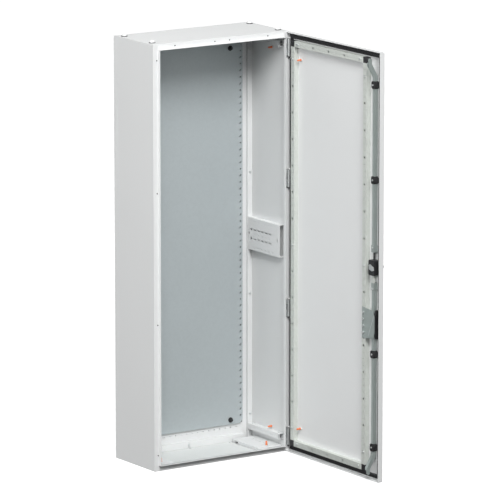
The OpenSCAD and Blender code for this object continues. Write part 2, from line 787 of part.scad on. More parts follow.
module lock_spindle() color(steel) on_door() translate([rod_x, 0, lock_z]) {
    translate([0, lock_y1 + cam_gap, 0]) rotate([90, 0, 0]) cylinder(r = 7, h = lock_wall + cam_gap + 1);
    translate([0, lock_y1 - lock_wall - 1, 0]) rotate([90, 0, 0]) cylinder(r = hub_r, h = 15);
    block([-4, lever_y - 6, -4], [4, lock_y1, 4]);
    translate([0, lock_y1 + cam_gap + cam_t + 1, 0]) rotate([90, 0, 0]) cylinder(d = 5, h = cam_t + 2);
}

// Three-cornered cam plate on the spindle's inner end, its long corner towards the door's lock edge
module lock_cam() color(zinc) on_door() translate([rod_x, 0, lock_z]) face_y(lock_y1 + cam_gap, cam_t)
    difference() {
        polygon([[-19, -8], [-17, 4], [4, 13], [13, 9], [11, -7], [-6, -12]]);
        circle(d = 5);
    }

module escutcheon() color(black) on_door() difference() {
    translate([rod_x, 0, lock_z - 8]) face_y(door_y1 - rose_t, rose_t) {
        square([34, 60], center = true);
        for (s = [-1, 1]) translate([0, s * 30]) circle(d = 34);
    }
    translate([rod_x, door_y1 - rose_t - eps, lock_z]) rotate([-90, 0, 0])
        cylinder(r = 6.2, h = rose_t + 2 * eps);
}

boss_h = 16;
key_r = 7;
key_h = 8;

// Lever drawn level, as it stands with the rods drawn back
module handle_lever() color(black) on_door() translate([rod_x, lever_y, lock_z]) difference() {
    union() {
        rotate([90, 0, 0]) cylinder(r = boss_r, h = boss_h);
        translate([0, -boss_h, 0]) face_y(0, 9) {
            sheet2d([0, -8], [lever_l, 8]);
            translate([lever_l, 0]) circle(r = 8);
        }
    }
    block([-4 - seat, -6 - seat, -4 - seat], [4 + seat, eps, 4 + seat]);
    translate([0, -boss_h + key_h, 0]) rotate([90, 0, 0]) cylinder(r = key_r, h = key_h + eps);
}

// Double-bit insert in the lever's boss
module key_insert() color(steel) on_door() translate([rod_x, lever_y - boss_h + key_h - 0.1, lock_z])
    rotate([90, 0, 0]) {
        difference() {
            cylinder(r = key_r - fit, h = key_h - 0.4);
            translate([0, 0, 2]) cylinder(r = key_r - 2, h = key_h);
        }
        cylinder(r = 1.5, h = key_h - 1);
        translate([0, 0, (key_h - 1) / 2]) cube([8.5, 3, key_h - 1], center = true);
    }

// Upper or lower side of the lock: side 1 looks up from the spindle, side -1 down
module at_lock(side) {
    translate([0, 0, lock_z]) mirror([0, 0, side < 0 ? 1 : 0]) children();
}

upper_span = body_h - lock_z;
lower_span = lock_z;

// Square rod, drawn back: straight run, cranked end and a tab with the roller's pin.
// span is the distance from the spindle to the body's end
module rod_shape(span) {
    ze = span - roller_in;
    zt = ze - roller_r - 1;
    zb = zt - bend_l;
    x0 = rod_x - rod_s / 2;
    y0 = rod_y0 + rod_shift;
    y1 = rod_y1 + rod_shift;
    translate([x0, 0, 0]) rotate([90, 0, 90]) linear_extrude(rod_s)
        polygon([[rod_y0, link_l], [rod_y1, link_l], [rod_y1, zb - bend_k], [y1, zt - bend_k - 4],
                 [y1, zt], [y0, zt], [y0, zt - 4], [rod_y0, zb]]);
    translate([x0, 0, 0]) rotate([90, 0, 90]) linear_extrude(rod_tab) {
        sheet2d([roller_y - rod_s / 2, zt], [roller_y + rod_s / 2, ze]);
        translate([roller_y, ze]) circle(d = rod_s);
    }
    translate([x0, roller_y, ze]) rotate([0, 90, 0]) {
        cylinder(d = roller_pin_d, h = rod_tab + roller_w + 2);
        translate([0, 0, rod_tab + roller_w + 1]) cylinder(d = roller_pin_d + 3, h = 1.5);
    }
}

module roller_shape(span) {
    translate([rod_x - rod_s / 2 + rod_tab + 0.5, roller_y, span - roller_in]) rotate([0, 90, 0])
        difference() {
            cylinder(r = roller_r, h = roller_w);
            translate([0, 0, -eps]) cylinder(d = roller_pin_d + 2 * fit, h = roller_w + 2 * eps);
        }
}

// Flat bar from the lock with a coupler block over the rod's end
module link_shape() {
    ym = (rod_y0 + rod_y1) / 2;
    foot = link_l - 3;
    block([rod_x - link_w / 2, ym - link_t / 2, hub_r + 1], [rod_x + link_w / 2, ym + link_t / 2, foot]);
    difference() {
        block([rod_x - coupler_s / 2, ym - coupler_s / 2, foot],
              [rod_x + coupler_s / 2, ym + coupler_s / 2, foot + coupler_h]);
        block([rod_x - rod_s / 2 - seat, rod_y0 - seat, link_l],
              [rod_x + rod_s / 2 + seat, rod_y1 + seat, link_l + coupler_h]);
    }
}

module upper_rod() color(zinc) on_door() at_lock(1) rod_shape(upper_span);

module lower_rod() color(zinc) on_door() at_lock(-1) rod_shape(lower_span);

module upper_link() color(black) on_door() at_lock(1) link_shape();

module lower_link() color(black) on_door() at_lock(-1) link_shape();

module upper_roller() color(black) on_door() at_lock(1) roller_shape(upper_span);

module lower_roller() color(black) on_door() at_lock(-1) roller_shape(lower_span);

// ---------- door fittings ----------

bracket_t = 2;
ramp_x = rod_x - rod_s / 2 - 1;
ramp_w = 9;
ramp_l = 54;

// Bracket that carries the ramp over the rod
module lift_bracket() color(zinc) on_door() face_y(tube_y, bracket_t) difference() {
    polygon([[tube_lx0 + tube_w - 3, bracket_z - 59], [tube_lx0 + tube_w - 3, bracket_z + 59],
             [ramp_x, bracket_z + 52], [ramp_x - ramp_w, bracket_z + 30],
             [ramp_x - ramp_w, bracket_z - 30], [ramp_x, bracket_z - 52]]);
    for (z = bracket_zs) translate([tube_lx0 + tube_w / 2, z]) circle(d = small_d);
}

// Plastic ramp beside the rod that picks the door up as it shuts
module lift_wedge() color(black) on_door() translate([ramp_x - ramp_w, 0, bracket_z])
    rotate([90, 0, 90]) linear_extrude(ramp_w)
        polygon([[skin_y, -ramp_l], [tube_y - 8, -ramp_l], [tube_y, -ramp_l + 22],
                 [tube_y, ramp_l - 22], [tube_y - 8, ramp_l], [skin_y, ramp_l]]);

door_stud_zs = [100, body_h - 100];

module door_earth_studs() color(steel) on_door() for (z = door_stud_zs)
    translate([door_stud_x, skin_y, z]) rotate([-90, 0, 0]) stud();

module door_earth_caps() color(orange) on_door() for (z = door_stud_zs)
    translate([door_stud_x, skin_y, z]) rotate([-90, 0, 0]) stud_cap();

side_left();
side_right();
roof_panel();
floor_panel();
rear_tray();
upright_left();
upright_right();
cross_top();
cross_bottom();
mounting_plate();
plate_standoffs();
plate_nuts();
rail_mid_left();
rail_mid_right();
rail_low_left();
rail_low_right();
rail_up_left();
rail_up_right();
floor_tray_left();
floor_tray_right();
gland_plate();
gland_gasket();
gland_screws();
earth_studs();
earth_caps();
lifting_plugs();
lifting_washers();
flange_plugs();
frame_bolts();
rail_screws();
hinge_body_leaves();
hinge_pins();
hinge_screws();
hinge_door_leaves();
door_skin();
door_rims();
door_gasket();
tube_hinge_side();
tube_lock_side();
tube_top();
tube_bottom();
tube_corners();
door_screws();
rod_guides();
lock_housing();
lift_bracket();
lift_wedge();
door_earth_studs();
door_earth_caps();
escutcheon();
upper_rod();
upper_link();
lower_rod();
lower_link();
upper_roller();
lower_roller();
lock_spindle();
lock_cam();
handle_lever();
key_insert();
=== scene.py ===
# Industrial switchboard cabinet with its door open: the looks of every piece, in the order in
# which the cabinet is put together.
import json
import math

import bmesh
import bpy
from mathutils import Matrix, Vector

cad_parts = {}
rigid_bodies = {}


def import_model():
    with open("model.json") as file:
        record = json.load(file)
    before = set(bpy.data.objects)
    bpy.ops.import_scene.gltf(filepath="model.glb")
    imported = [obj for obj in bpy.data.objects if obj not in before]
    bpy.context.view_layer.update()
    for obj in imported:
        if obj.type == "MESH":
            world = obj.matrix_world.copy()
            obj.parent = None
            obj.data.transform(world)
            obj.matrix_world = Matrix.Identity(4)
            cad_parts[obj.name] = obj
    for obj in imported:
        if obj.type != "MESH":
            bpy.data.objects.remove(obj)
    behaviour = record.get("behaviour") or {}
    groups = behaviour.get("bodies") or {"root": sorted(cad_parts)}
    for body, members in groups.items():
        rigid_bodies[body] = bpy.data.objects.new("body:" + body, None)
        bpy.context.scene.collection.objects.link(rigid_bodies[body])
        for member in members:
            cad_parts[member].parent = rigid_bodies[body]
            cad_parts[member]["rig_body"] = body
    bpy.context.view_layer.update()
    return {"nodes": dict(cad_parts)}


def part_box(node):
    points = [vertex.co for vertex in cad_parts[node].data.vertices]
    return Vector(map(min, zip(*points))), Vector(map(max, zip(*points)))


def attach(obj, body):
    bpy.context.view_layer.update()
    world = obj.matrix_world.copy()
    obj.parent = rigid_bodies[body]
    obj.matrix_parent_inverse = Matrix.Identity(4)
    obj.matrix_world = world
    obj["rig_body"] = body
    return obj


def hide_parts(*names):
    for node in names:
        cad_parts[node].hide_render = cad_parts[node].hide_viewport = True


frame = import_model()
bpy.ops.object.select_all(action="DESELECT")

# ---------------------------------------------------------------------------------------------
# Studio. A long lens stands well back to the left of the cabinet, above its roof. The room is
# bright round the horizon, dimmer overhead and dim below, and a big softbox stands at the front left.
camera_data = bpy.data.cameras.new("studio_camera")
camera_data.lens = 357.74
camera_data.sensor_width = 36.0
camera_data.clip_end = 200.0
camera = bpy.data.objects.new("studio_camera", camera_data)
camera.location = (-10.0136, -15.1471, 4.4227)
camera_dip = 11.337
camera_turn = -34.034
camera.rotation_euler = (math.radians(90.0 - camera_dip), 0.0, math.radians(camera_turn))
bpy.context.collection.objects.link(camera)
bpy.context.scene.camera = camera
bpy.context.scene.view_settings.view_transform = "Standard"

room = bpy.data.worlds.new("white_room")
room.use_nodes = True
sky = room.node_tree
towards = sky.nodes.new("ShaderNodeTexCoord")
split_sky = sky.nodes.new("ShaderNodeSeparateXYZ")
glow = sky.nodes.new("ShaderNodeFloatCurve")
sky.links.new(towards.outputs["Generated"], split_sky.inputs[0])
curve = glow.mapping.curves[0]
room_glow = ((-1.0, 0.12), (0.04, 0.15), (0.16, 0.85), (0.50, 0.80), (0.65, 0.25), (1.0, 0.15))
glow.mapping.clip_min_x = -1.0
curve.points[0].location = room_glow[0]
curve.points[1].location = room_glow[-1]
for level in room_glow[1:-1]:
    curve.points.new(*level)
glow.mapping.update()
sky.links.new(split_sky.outputs["Z"], glow.inputs["Value"])
sky.links.new(glow.outputs[0], sky.nodes["Background"].inputs["Strength"])
sky.nodes["Background"].inputs["Color"].default_value = (1.0, 1.0, 1.0, 1.0)
bpy.context.scene.world = room


def softbox(name, place, aim, size, watts):
    """A square diffuse lamp that faces a point."""
    lamp = bpy.data.lights.new(name, "AREA")
    lamp.size = size
    lamp.energy = watts
    stand = bpy.data.objects.new(name, lamp)
    stand.location = place
    stand.rotation_euler = (Vector(aim) - Vector(place)).to_track_quat("-Z", "Y").to_euler()
    bpy.context.collection.objects.link(stand)


softbox("softbox_front", (-2.43, -5.37, 6.36), (0.0, -0.15, 0.8), 3.2, 640.0)
softbox("softbox_left", (-6.0, -0.9, 2.3), (-0.3, 0.0, 0.7), 3.0, 130.0)

floor_width = 160.0
floor_height = -0.0005
bpy.ops.mesh.primitive_plane_add(size=floor_width, location=(0.0, 0.0, floor_height))
floor = bpy.context.object
floor.name = "studio_floor"
floor.visible_diffuse = False
floor.visible_glossy = False


# ---------------------------------------------------------------------------------------------
# Body: sides, roof, floor and rear tray, folded from 1.5 mm steel, welded, ground at the corners
# and powder-coated light grey. A narrow seam shows where the tray meets the rest.
class Wire:
    """An output of a finish's nodes; arithmetic on wires and numbers adds the Math nodes."""

    def __init__(self, tree, socket=None):
        self.tree = tree
        self.socket = socket

    def node(self, kind, settings, inputs, out=0):
        """Adds a node: its settings first, then a value or a wire for each input."""
        made = self.tree.nodes.new("ShaderNode" + kind)
        for name, value in settings.items():
            setattr(made, name, value)
        for place, value in inputs.items():
            if isinstance(value, Wire):
                self.tree.links.new(value.socket, made.inputs[place])
            else:
                made.inputs[place].default_value = value
        return Wire(self.tree, made.outputs[out] if made.outputs else None)

    def maths(self, operation, first, second):
        return self.node("Math", {"operation": operation}, {0: first, 1: second})

    def __add__(self, other):
        return self.maths("ADD", self, other)

    __radd__ = __add__

    def __sub__(self, other):
        return self.maths("SUBTRACT", self, other)

    def __rsub__(self, other):
        return self.maths("SUBTRACT", other, self)

    def __mul__(self, other):
        return self.maths("MULTIPLY", self, other)

    __rmul__ = __mul__


def bare_finish(name):
    """A new finish without nodes, and the wire that its nodes start from."""
    finish = bpy.data.materials.new(name)
    finish.use_nodes = True
    finish.node_tree.nodes.clear()
    return finish, Wire(finish.node_tree)


def place_on(start):
    return start.node("TexCoord", {}, {}, "Object")


def grain(start, where, size, detail=2.0):
    """Smooth noise from 0 to 1 with lumps of about that size, in metres."""
    return start.node("TexNoise", {}, {"Vector": where, "Scale": 1.0 / size, "Detail": detail})


def between(start, share, dark, light):
    """A colour between two others, by a share from 0 to 1."""
    return start.node("Mix", {"data_type": "RGBA"}, {0: share, 6: (*dark, 1.0), 7: (*light, 1.0)}, 2)


def relief(start, height, depth, strength):
    """Fine relief of that depth in metres."""
    return start.node("Bump", {}, {"Height": height, "Distance": depth, "Strength": strength})


def surface(start, sockets):
    start.node("OutputMaterial", {}, {"Surface": start.node("BsdfPrincipled", {}, sockets)})


def powder_coat(name, dark, light):
    """Oven-cured polyester powder: a fine orange-peel skin, very slightly uneven in tone."""
    finish, start = bare_finish(name)
    where = place_on(start)
    peel = grain(start, where, 0.0016) * 0.7 + grain(start, where, 0.0005) * 0.3
    tone = grain(start, where, 0.35, 3.0) * 0.7 + grain(start, where, 0.0012) * 0.3
    surface(start, {
        "Base Color": between(start, tone, dark, light),
        "Roughness": grain(start, where, 0.02) * 0.10 + peel * 0.08 + 0.40,
        "Specular IOR Level": 0.40,
        "Normal": relief(start, peel, 0.00012, 0.35),
    })
    return finish


def edit(piece):
    """Makes a piece the only selected one and opens it in edit mode."""
    if bpy.context.mode != "OBJECT":
        bpy.ops.object.mode_set(mode="OBJECT")
    bpy.ops.object.select_all(action="DESELECT")
    piece.select_set(True)
    bpy.context.view_layer.objects.active = piece
    bpy.ops.object.mode_set(mode="EDIT")


def pick(piece, kind, test):
    """Selects only the edges, faces or corners of a piece in edit mode that pass a test."""
    bpy.ops.mesh.select_all(action="DESELECT")
    modes = {"verts": "VERT", "edges": "EDGE", "faces": "FACE"}
    bpy.ops.mesh.select_mode(type=modes[kind])
    work = bmesh.from_edit_mesh(piece.data)
    for part in getattr(work, kind):
        if test(part):
            part.select_set(True)
    bmesh.update_edit_mesh(piece.data)


def apply_last(piece):
    bpy.ops.object.modifier_apply(modifier=piece.modifiers[-1].name)


def finished(piece, body, nodes, finish, smooth=35.0):
    """Smooths a piece's rounded edges, gives it its finish and puts it on its body."""
    if bpy.context.mode != "OBJECT":
        bpy.ops.object.mode_set(mode="OBJECT")
    bpy.ops.object.select_all(action="DESELECT")
    piece.select_set(True)
    bpy.context.view_layer.objects.active = piece
    bpy.ops.object.transform_apply(location=True, rotation=True, scale=True)
    bpy.ops.object.shade_smooth_by_angle(angle=math.radians(smooth))
    bpy.ops.object.modifier_add(type="WEIGHTED_NORMAL")
    piece.modifiers[-1].keep_sharp = True
    apply_last(piece)
    piece.data.materials.clear()
    piece.data.materials.append(finish)
    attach(piece, body)
    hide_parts(*nodes)
    return piece


merge_gap = 0.00001
flat_angle = math.radians(1.0)


def copied(node):
    """A merged copy of a CAD part's mesh as a new object in edit mode."""
    piece = bpy.data.objects.new(node + "_finished", frame["nodes"][node].data.copy())
    bpy.context.collection.objects.link(piece)
    edit(piece)
    bpy.ops.mesh.select_all(action="SELECT")
    bpy.ops.mesh.remove_doubles(threshold=merge_gap)
    bpy.ops.mesh.dissolve_limited(angle_limit=flat_angle)
    return piece


def solids_of(node):
    """The lowest and highest corner of each separate solid of a CAD node."""
    work = bmesh.new()
    work.from_mesh(frame["nodes"][node].data)
    bmesh.ops.remove_doubles(work, verts=work.verts, dist=merge_gap)
    boxes = []
    left = set(work.verts)
    while left:
        front = [left.pop()]
        seen = []
        while front:
            corner = front.pop()
            seen.append(corner.co)
            for edge in corner.link_edges:
                other = edge.other_vert(corner)
                if other in left:
                    left.remove(other)
                    front.append(other)
        low = Vector([min(p[i] for p in seen) for i in range(3)])
        high = Vector([max(p[i] for p in seen) for i in range(3)])
        boxes.append((low, high))
    work.free()
    return sorted(boxes, key=lambda box: tuple(round(c, 4) for c in box[0]))


near = 0.0001


def on_corner(edge, boxes):
    """True for an edge along X on the outline corner of one of the boxes."""
    a, b = (v.co for v in edge.verts)
    if (a - b).cross(Vector((1.0, 0.0, 0.0))).length > merge_gap:
        return False
    for low, high in boxes:
        from_side = min(abs(a.y - low.y), abs(a.y - high.y))
        from_end = min(abs(a.z - low.z), abs(a.z - high.z))
        if from_side + from_end < near:
            return True
    return False


sharp_angle = math.radians(30.0)


def break_edges(piece, radius, shortest=0.002, rounds=3, only=None):
    """Rounds the sharp edges of a piece in edit mode that are longer than the shortest."""

    def sharp(edge):
        if len(edge.link_faces) != 2 or edge.calc_length() < shortest:
            return False
        if edge.calc_face_angle() < sharp_angle:
            return False
        return only is None or only(edge)

    pick(piece, "edges", sharp)
    bpy.ops.mesh.bevel(offset=radius, segments=rounds, affect="EDGES", clamp_overlap=True)


def deburred(node, radius, finish, shortest=0.002, rounds=3, only=None, corner=0.0):
    """A copy of a cut part whose sharp edges, those longer than the shortest, are rounded; the
    corners of its outline, seen along X, can have a larger radius."""
    piece = copied(node)
    if corner:
        boxes = solids_of(node)
        pick(piece, "edges", lambda e: on_corner(e, boxes))
        bpy.ops.mesh.bevel(offset=corner, segments=6, affect="EDGES")
    break_edges(piece, radius, shortest, rounds, only)
    body = frame["nodes"][node]["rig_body"]
    return finished(piece, body, [node], finish)


body_low, body_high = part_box("rear_tray")
front_y = -body_high.y
seam_y = body_low.y
outline_gap = 0.0002


def on_outline(edge):
    """True for an edge on the outline of the body's box, or round the rear tray's seam."""
    a, b = (v.co for v in edge.verts)
    off_x = abs(abs(a.x) - body_high.x)
    off_y = min(abs(a.y - front_y), abs(a.y + front_y), abs(a.y - seam_y))
    off_z = min(abs(a.z - body_high.z), abs(a.z))
    x = abs(a.x - b.x) < outline_gap and off_x < outline_gap
    y = abs(a.y - b.y) < outline_gap and off_y < outline_gap
    z = abs(a.z - b.z) < outline_gap and off_z < outline_gap
    return x + y + z > 1


paint = powder_coat("light_grey_powder", (0.70, 0.71, 0.71), (0.74, 0.75, 0.75))
for node in ("side_left", "side_right", "roof_panel", "floor_panel", "rear_tray"):
    deburred(node, 0.0012, paint, only=on_outline)


# ---------------------------------------------------------------------------------------------
# Studio floor: matt white card, laid under the cabinet and lit so brightly that only a faint
# shadow stays on it.
card, card_start = bare_finish("white_card")
card_fleck = grain(card_start, place_on(card_start), 0.4)
card_face = card_start.node("BsdfPrincipled", {}, {
    "Base Color": between(card_start, card_fleck, (0.48, 0.48, 0.48), (0.50, 0.50, 0.50)),
    "Roughness": 0.9,
    "Specular IOR Level": 0.0,
    "Emission Color": (1.0, 1.0, 1.0, 1.0),
    "Emission Strength": 0.85,
})
card_start.node("OutputMaterial", {}, {"Surface": card_face})
floor.data.materials.append(card)


# ---------------------------------------------------------------------------------------------
# Lifting plugs: four turned plugs with domed heads, painted like the body, close the eyebolt
# holes in the roof. Each sits on a black rubber washer, and small black plugs close the flange holes.
def joined(name, parts):
    """Several new parts as one object."""
    bpy.ops.object.select_all(action="DESELECT")
    for part in parts:
        part.select_set(True)
    bpy.context.view_layer.objects.active = parts[0]
    if len(parts) > 1:
        bpy.ops.object.join()
    parts[0].name = name
    return parts[0]


def turned(centre, radius, depth, edge, axis="Z", sides=36, crown=4):
    """A short cylinder from the lathe with both rims rounded."""
    turn = {"X": (0.0, math.pi / 2, 0.0), "Y": (math.pi / 2, 0.0, 0.0), "Z": (0.0, 0.0, 0.0)}[axis]
    bpy.ops.mesh.primitive_cylinder_add(
        vertices=sides, radius=radius, depth=depth, location=centre, rotation=turn)
    part = bpy.context.object
    bpy.ops.object.transform_apply(location=True, rotation=True, scale=True)
    edit(part)
    if sides > 6:
        pick(part, "edges", lambda e: max(len(f.verts) for f in e.link_faces) > 4)
    else:
        pick(part, "edges", lambda e: e.calc_face_angle() > 0.5)
    bpy.ops.mesh.bevel(offset=edge, segments=crown, affect="EDGES")
    bpy.ops.object.mode_set(mode="OBJECT")
    return part


washer_height = 0.0025
head_share = 0.97
dome_radius = 0.0056
rim_width = 0.0014
dimple_depth = 0.0012
stem_drop = 0.0045
stem_radius = 0.0058
stem_length = 0.0145
plugs = []
for low, high in solids_of("lifting_plugs"):
    x, y = (low.x + high.x) / 2, (low.y + high.y) / 2
    radius = (high.x - low.x) / 2
    head = high.z - body_high.z - washer_height
    dome = turned((x, y, high.z - head / 2), radius * head_share, head, 0.0, crown=1)
    edit(dome)
    pick(dome, "edges", lambda e: all(v.co.z > high.z - near for v in e.verts))
    bpy.ops.mesh.bevel(offset=dome_radius, segments=7, affect="EDGES")
    pick(dome, "faces", lambda f: f.calc_center_median().z > high.z - near and len(f.verts) > 4)
    bpy.ops.mesh.inset(thickness=rim_width)
    bpy.ops.mesh.extrude_region_move(TRANSFORM_OT_translate={"value": (0.0, 0.0, -dimple_depth)})
    bpy.ops.object.mode_set(mode="OBJECT")
    stem = turned((x, y, body_high.z - stem_drop), stem_radius, stem_length, 0.0004)
    plugs += [dome, stem]
finished(joined("lifting_plug_heads", plugs), "cabinet", ["lifting_plugs"], paint)


def moulded_plastic(name, dark, light, gloss, texture=0.0007):
    """Nylon from a spark-eroded mould: a fine matt texture, a little paler on its lumps."""
    finish, start = bare_finish(name)
    where = place_on(start)
    lumps = grain(start, where, texture, 3.0)
    cloud = grain(start, where, 0.02)
    surface(start, {
        "Base Color": between(start, lumps * 0.5 + cloud * 0.5, dark, light),
        "Roughness": lumps * 0.14 + gloss,
        "Normal": relief(start, lumps, 0.00010, 0.5),
    })
    return finish


black_nylon = moulded_plastic("black_nylon", (0.012, 0.012, 0.013), (0.030, 0.030, 0.032), 0.42)
black_steel = moulded_plastic(
    "blackened_steel", (0.020, 0.021, 0.022), (0.050, 0.051, 0.052), 0.34, 0.0004)
deburred("lifting_washers", 0.0005, black_nylon, shortest=0.0, rounds=2)
deburred("flange_plugs", 0.0003, black_steel, shortest=0.0, rounds=2)


# ---------------------------------------------------------------------------------------------
# Inner frame: folded uprights and perforated cross members at the rear, open channels on the
# side walls and shallow trays on the floor, all painted like the body.
for node in ("upright_left", "upright_right", "cross_top", "cross_bottom",
             "rail_mid_left", "rail_mid_right", "rail_low_left", "rail_low_right",
             "rail_up_left", "rail_up_right", "floor_tray_left", "floor_tray_right"):
    deburred(node, 0.0007, paint, shortest=0.004)


# ---------------------------------------------------------------------------------------------
# Mounting plate: 3 mm galvanised sheet with cut corners and a column of holes along each edge.
# It stands off the rear wall on four threaded studs with black flanged nuts.
def zinc_sheet(name, dark, light, crystal, metallic, stretch=(1.0, 1.0, 1.0), mottle=0.3):
    """Zinc that froze in crystals: each patch has its own grey and its own gloss."""
    finish, start = bare_finish(name)
    where = start.node("Mapping", {}, {"Vector": place_on(start), "Scale": stretch})
    cells = start.node("TexVoronoi", {}, {"Vector": where, "Scale": 1.0 / crystal}, "Color")
    patch = start.node("SeparateColor", {}, {"Color": cells})
    cloud = grain(start, where, 0.16, 3.0)
    speck = grain(start, where, 0.0009, 3.0)
    tone = patch * mottle + cloud * 0.3 + speck * (0.7 - mottle)
    surface(start, {
        "Base Color": between(start, tone, dark, light),
        "Metallic": metallic,
        "Roughness": patch * 0.08 + speck * 0.12 + 0.38,
        "Normal": relief(start, speck, 0.00006, 0.35),
    })
    return finish


plate_zinc = zinc_sheet("galvanised_plate", (0.45, 0.495, 0.51), (0.52, 0.57, 0.585), 0.009, 0.35)
bright_zinc = zinc_sheet("zinc_plated_screw", (0.62, 0.64, 0.64), (0.82, 0.84, 0.84), 0.0015, 0.85)
deburred("mounting_plate", 0.0006, plate_zinc, shortest=0.004)
deburred("plate_standoffs", 0.0004, black_steel, shortest=0.0, rounds=2)
flange_height = 0.002
hexagon_radius = 0.0075
hexagon_height = 0.007
collar_back = 0.0022
collar_radius = 0.0085
collar_height = 0.0016
nuts = []
for low, high in solids_of("plate_nuts"):
    middle = (low + high) / 2
    radius = (high.x - low.x) / 2
    flange_at = (middle.x, high.y - flange_height / 2, middle.z)
    hexagon_at = (middle.x, low.y + hexagon_height / 2, middle.z)
    collar_at = (middle.x, high.y - collar_back, middle.z)
    nuts.append(turned(flange_at, radius, flange_height, 0.0006, "Y"))
    nuts.append(turned(hexagon_at, hexagon_radius, hexagon_height, 0.0008, "Y", 6, 2))
    nuts.append(turned(collar_at, collar_radius, collar_height, 0.0006, "Y"))
finished(joined("plate_flanged_nuts", nuts), "cabinet", ["plate_nuts"], black_nylon)


# ---------------------------------------------------------------------------------------------
# Gland plate: a galvanised sheet that closes the cable opening in the floor, bedded on a foam
# gasket and held by zinc-plated screws. The body's other bolts, screws and earth studs share
# their plating.
def foam_seal(name, dark, light):
    """Polyurethane foamed in place: a matt skin with open pores."""
    finish, start = bare_finish(name)
    where = place_on(start)
    pores = start.node("TexVoronoi", {}, {"Vector": where, "Scale": 1.0 / 0.0011}, "Distance")
    skin = grain(start, where, 0.006)
    surface(start, {
        "Base Color": between(start, pores * 0.6 + skin * 0.4, dark, light),
        "Roughness": 0.72 + skin * 0.12,
        "Normal": relief(start, pores, 0.00025, 0.5),
    })
    return finish


seal = foam_seal("foamed_seal", (0.010, 0.010, 0.011), (0.028, 0.028, 0.030))
floor_zinc = zinc_sheet("galvanised_floor", (0.66, 0.68, 0.67), (0.74, 0.76, 0.75), 0.012, 0.1)
deburred("gland_plate", 0.0006, floor_zinc, shortest=0.004)
deburred("gland_gasket", 0.0004, seal, shortest=0.004)
for node in ("gland_screws", "earth_studs", "frame_bolts", "rail_screws"):
    deburred(node, 0.0004, bright_zinc, shortest=0.0, rounds=2)


# ---------------------------------------------------------------------------------------------
# Earth stud caps: soft orange plastic sleeves pushed over the threads, with a rolled foot and a
# domed, slightly tapered end. Their threads stay free of paint until the cap is pulled off.
orange_soft = moulded_plastic("orange_soft_plastic", (0.74, 0.19, 0.075), (0.82, 0.27, 0.13), 0.40)


sleeve_share = 0.80
taper = 0.88
foot_height = 0.002
rib_place = 0.62
rib_share = 0.82
rib_height = 0.0012


def stud_cap(low, high):
    """A cap that fills a box; its long side is its axis, and its foot is where the stud starts."""
    size = high - low
    axis = max(range(3), key=lambda i: size[i])
    middle = (low + high) / 2
    radius = min(size) / 2
    foot = Vector(middle)
    step = Vector((0.0, 0.0, 0.0))
    step[axis] = 1.0 if axis == 2 else -1.0
    foot[axis] = low[axis] if axis == 2 else high[axis]
    name = "XYZ"[axis]
    length = size[axis]
    sleeve = turned(foot + step * length / 2, radius * sleeve_share, length, 0.0018, name, 28, 4)
    edit(sleeve)
    pick(sleeve, "verts", lambda v: (v.co - foot).dot(step) > length * 0.5)
    slim = [1.0, 1.0, 1.0]
    for side in {0, 1, 2} - {axis}:
        slim[side] = taper
    bpy.ops.transform.resize(value=slim, center_override=foot + step * length * 0.75)
    bpy.ops.object.mode_set(mode="OBJECT")
    ring = turned(foot + step * foot_height / 2, radius, foot_height, 0.0009, name, 28, 3)
    rib_at = foot + step * length * rib_place
    rib = turned(rib_at, radius * rib_share, rib_height, 0.0005, name, 28, 2)
    return [sleeve, ring, rib]


for node, body in (("earth_caps", "cabinet"), ("door_earth_caps", "door")):
    caps = []
    for low, high in solids_of(node):
        caps += stud_cap(low, high)
    finished(joined(node + "_moulded", caps), body, [node], orange_soft)
deburred("door_earth_studs", 0.0004, bright_zinc, shortest=0.0, rounds=2)


# ---------------------------------------------------------------------------------------------
# Hinges: four leaf pairs, zinc die castings on blackened steel pins, screwed to the body flange
# and welded to the door sheet.
for node in ("hinge_body_leaves", "hinge_door_leaves"):
    deburred(node, 0.0008, bright_zinc, shortest=0.003)
for node in ("hinge_pins", "hinge_screws"):
    deburred(node, 0.0003, black_steel, shortest=0.0, rounds=2)


# ---------------------------------------------------------------------------------------------
# Door: one sheet folded into a shallow tray with welded, ground corners, painted like the body.
# Its hinge-side rim is notched for the four hinges.
def slit(piece, axis, places):
    """Cuts every face of a piece along planes across an axis, at the given places."""
    edit(piece)
    for place in places:
        bpy.ops.mesh.select_all(action="SELECT")
        point = [0.0, 0.0, 0.0]
        across = [0.0, 0.0, 0.0]
        point[axis] = place
        across[axis] = 1.0
        bpy.ops.mesh.bisect(plane_co=point, plane_no=across)
    bpy.ops.object.mode_set(mode="OBJECT")


def block(low, high):
    """A cube stretched between two corners."""
    bpy.ops.mesh.primitive_cube_add(size=1.0, location=(Vector(low) + Vector(high)) / 2)
    part = bpy.context.object
    part.scale = Vector(high) - Vector(low)
    bpy.ops.object.transform_apply(location=True, rotation=True, scale=True)
    return part


def between_z(low, high):
    """A test for faces that lie between two heights."""
    return lambda f: low < f.calc_center_median().z < high


